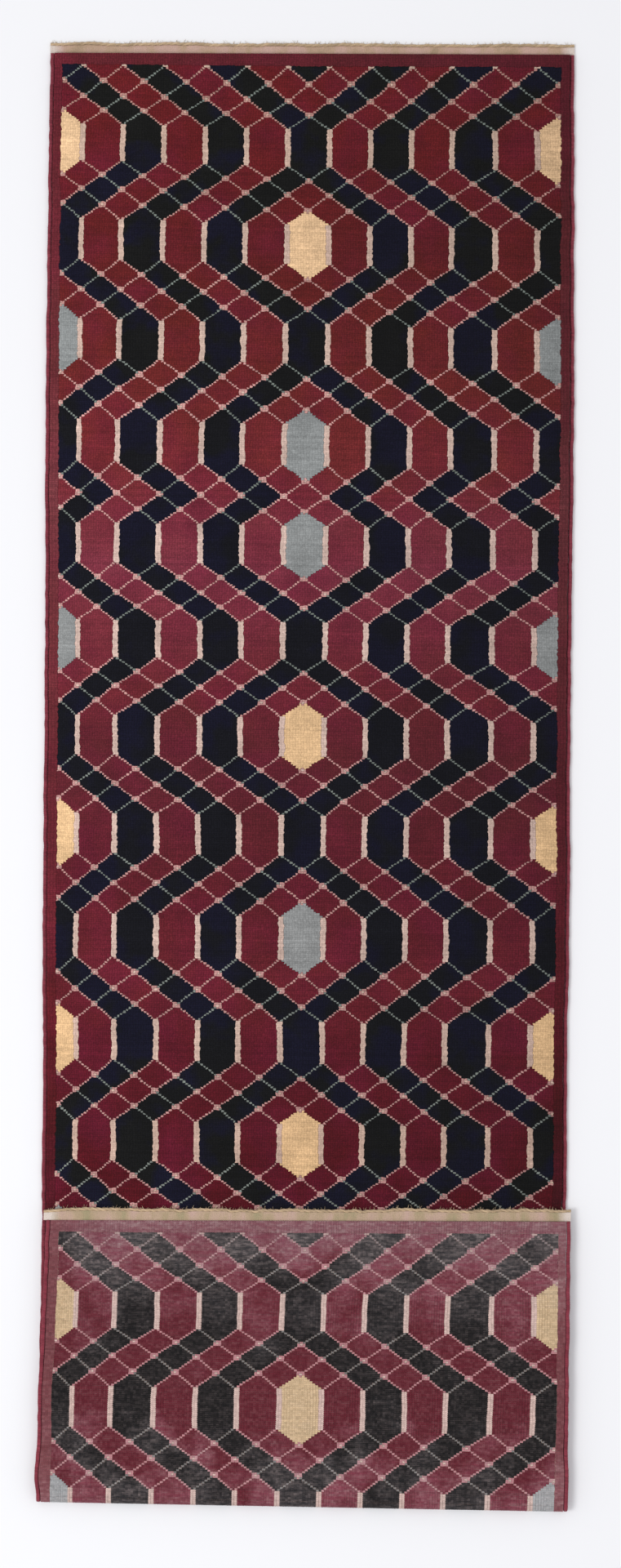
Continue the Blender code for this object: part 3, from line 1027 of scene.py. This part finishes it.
def from_end(x, inward, near):
    """Flat x and d of places that lie so far inward from an end's edge."""
    waver = end_waver(x, near) * np.clip((BAND_END - inward) / BAND_END, 0, 1)
    return laid(x, LENGTH + waver - inward if near else inward + waver)


def band_shape(near):
    """A flat woven band with round edges and a rib for each pair of warps."""
    middle, half = (CORD_WIDTH + BAND_END) / 2 - 0.0002, (BAND_END - CORD_WIDTH) / 2 + 0.0004

    def shape(along, around):
        across, up = fuller(np.cos(around), 0.6), fuller(np.sin(around), 0.5)
        rib = 0.9 + 0.1 * np.cos(2 * math.pi * along / WARP_SPACING)
        puff = 1 + 0.25 * soft_noise(along / 0.03, 0, 43 + near)
        x, d = from_end(along, middle + half * across, near)
        z = BAND_THICKNESS / 2 * (1 + up * rib * puff * 0.9)
        return x, d, z
    return shape


def cord_shape(near):
    """Two strands twisted round each other."""
    def shape(along, around):
        turn = 2 * math.pi * along / TWIST_PITCH + 2 * around
        swell = (0.88 + 0.12 * np.cos(turn)) * (1 + 0.1 * soft_noise(along / 0.025, 0, 45 + near))
        inward = CORD_WIDTH / 2 * (1 - swell * np.cos(around))
        x, d = from_end(along, inward, near)
        return x, d, CORD_HEIGHT / 2 + (CORD_HEIGHT / 2 - INSIDE) * swell * np.sin(around)
    return shape


def warp_ends(name, near, place):
    """Short ends of warp that have worked loose from the twisted edge, all in one piece."""
    random = np.random.RandomState(60 + near)
    sides, rings = 5, 5
    share = np.linspace(0, 1, rings)[:, None]
    around = np.arange(sides)[None, :] * 2 * math.pi / sides
    radius = HAIR_RADIUS * (1 - 0.5 * share)
    points, walls, caps = [], [], []
    for number in range(WARP_ENDS):
        x = random.uniform(-END_HALF_WIDTH, END_HALF_WIDTH)
        length = random.uniform(0.002, 0.006)
        lean, lift = random.uniform(-0.6, 0.6), random.uniform(-0.3, 0.2)
        bent = length * share ** 2
        inward = 0.001 - length * share
        flat_x, flat_d = from_end(x + lean * bent + radius * np.cos(around), inward, near)
        height = CORD_HEIGHT * 0.35 + lift * bent + radius * np.sin(around)
        points.append(place(flat_x, flat_d, np.clip(height, HAIR_RADIUS, None)).reshape(-1, 3))
        ring = (np.arange(rings * sides) + number * rings * sides).reshape(-1, sides)
        walls.append(tube_walls(ring))
        caps += [ring[:1, ::-1], ring[-1:]]
    groups = [(np.concatenate(faces), 0, 0) for faces in (walls, caps)]
    return make_piece(name, np.concatenate(points), groups, [CORE])


def rug_end(near):
    """The flat-woven band past the pile, the twisted cord that ends it, and its loose warps."""
    end, stretch, place = ("near", "flap", drooping) if near else ("far", "main", folded)
    left, right = -END_HALF_WIDTH - CORNER_REACH * near, END_HALF_WIDTH
    ribs = evenly(left, right, WARP_SPACING / 4)
    band = tube(f"kilim_{end}", ribs, 16, band_shape(near), place, BANDS[near])
    cord = tube(f"end_cord_{end}_wool", evenly(left, right, 0.0012), 14, cord_shape(near), place, CORD)
    hairs = warp_ends(f"warp_ends_{end}", near, place)
    for piece in (band, cord, hairs):
        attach(piece, stretch)
    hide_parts("kilim_band_" + end)
    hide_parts("end_cord_" + end)
    return [band, cord, hairs]


def foundation(stretch, start, stop):
    """The woven cloth that the knots are tied in, a thin sheet with the swell of its warps."""
    xs = evenly(-PILE_WIDTH / 2 + 0.0005, PILE_WIDTH / 2 - 0.0005, 0.008)
    ds = evenly(start, stop, 0.012)
    x, d = np.meshgrid(xs, ds, indexing="xy")
    swell = CLOTH_SWELL * (-1.0) ** np.add.outer(np.arange(len(ds)), np.arange(len(xs)))
    flat_x, flat_d = laid(x, d)
    layers = [folded(flat_x, flat_d, height + swell) for height in (CLOTH_HIGH, CLOTH_LOW)]
    points = np.concatenate([layer.reshape(-1, 3) for layer in layers])
    ids = np.arange(x.size).reshape(x.shape)
    top = np.stack([ids[:-1, :-1], ids[1:, :-1], ids[1:, 1:], ids[:-1, 1:]], axis=-1).reshape(-1, 4)
    rim = np.concatenate([ids[:, 0], ids[-1, 1:], ids[-2::-1, -1], ids[0, -2:0:-1]])
    after = np.roll(rim, -1)
    walls = np.stack([rim, rim + x.size, after + x.size, after], axis=-1)
    piece = make_piece("foundation_cloth_" + stretch, points,
                       [(top, 0, 0), (top[:, ::-1] + x.size, 0, 0), (walls, 0, 0)], [CLOTH])
    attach(piece, stretch)
    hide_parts("foundation_" + stretch)
    return piece


def build():
    """All the pieces, and the two sheets of cloth that carry them."""
    main_pile = pile("main", FIRST_ROW, FOLD_FIRST_ROW - 1, False)
    flap_pile = pile("flap", FOLD_LAST_ROW + 1, LAST_ROW, True)
    backs, strips = fold_backs(), fold_piles()
    for index, name in enumerate(STRETCHES[1:-1]):
        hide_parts("foundation_" + name)
        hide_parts("pile_" + name)
    edges = selvedges()
    far_end, near_end = rug_end(False), rug_end(True)
    main_cloth = foundation("main", BAND_END, FOLD_START)
    flap_cloth = foundation("flap", FOLD_END, LENGTH - BAND_END)


build()

# The warps inside the fold's selvedges keep the frame's own shape
for name, node in frame["nodes"].items():
    if "core" in name and "fold" in name:
        node.data.materials.clear()
        node.data.materials.append(CORE)


# ------ floor, light and camera

FLOOR_HALF = 60.0


def make_floor():
    mesh = bpy.data.meshes.new("floor")
    corners = [(x * FLOOR_HALF, y * FLOOR_HALF, 0) for x, y in ((-1, -1), (1, -1), (1, 1), (-1, 1))]
    mesh.from_pydata(corners, [], [(0, 1, 2, 3)])
    floor = new_object("floor", mesh)
    floor.location.z = -0.0004
    finish = Finish("floor_paper")
    finish.coat({"Base Color": (0.93, 0.93, 0.945, 1), "Roughness": 0.95, "Specular IOR Level": 0.0})
    mesh.materials.append(finish.material)


def light_scene():
    world = bpy.data.worlds.new("studio")
    world.use_nodes = True
    background = world.node_tree.nodes["Background"]
    background.inputs["Color"].default_value = (0.97, 0.975, 1.0, 1)
    background.inputs["Strength"].default_value = 0.76
    bpy.context.scene.world = world
    light = bpy.data.lights.new("key", "AREA")
    light.shape, light.size, light.energy = "DISK", 2.2, 96
    key = new_object("key", light)
    key.location = (-2.6, -0.9, 4.6)
    key.rotation_euler = (-key.location).to_track_quat("-Z", "Y").to_euler()


def aim_camera(place, target, roll, lens):
    camera = new_object("camera", bpy.data.cameras.new("camera"))
    camera.data.lens = lens
    camera.data.sensor_width = 36
    camera.location = place
    forward = (Vector(target) - Vector(place)).normalized()
    right = forward.cross(Vector((0, 1, 0))).normalized()
    axes = Matrix((right, right.cross(forward), -forward)).transposed()
    camera.rotation_mode = "QUATERNION"
    camera.rotation_quaternion = (axes @ Matrix.Rotation(roll, 3, "Z")).to_quaternion()
    camera.data.clip_end = 200
    bpy.context.scene.camera = camera


make_floor()
light_scene()
aim_camera((0.072, -0.142, 5.073), (0.0017, -0.0189, 0.0), roll=0.0072, lens=75)
bpy.context.scene.view_settings.view_transform = "Standard"
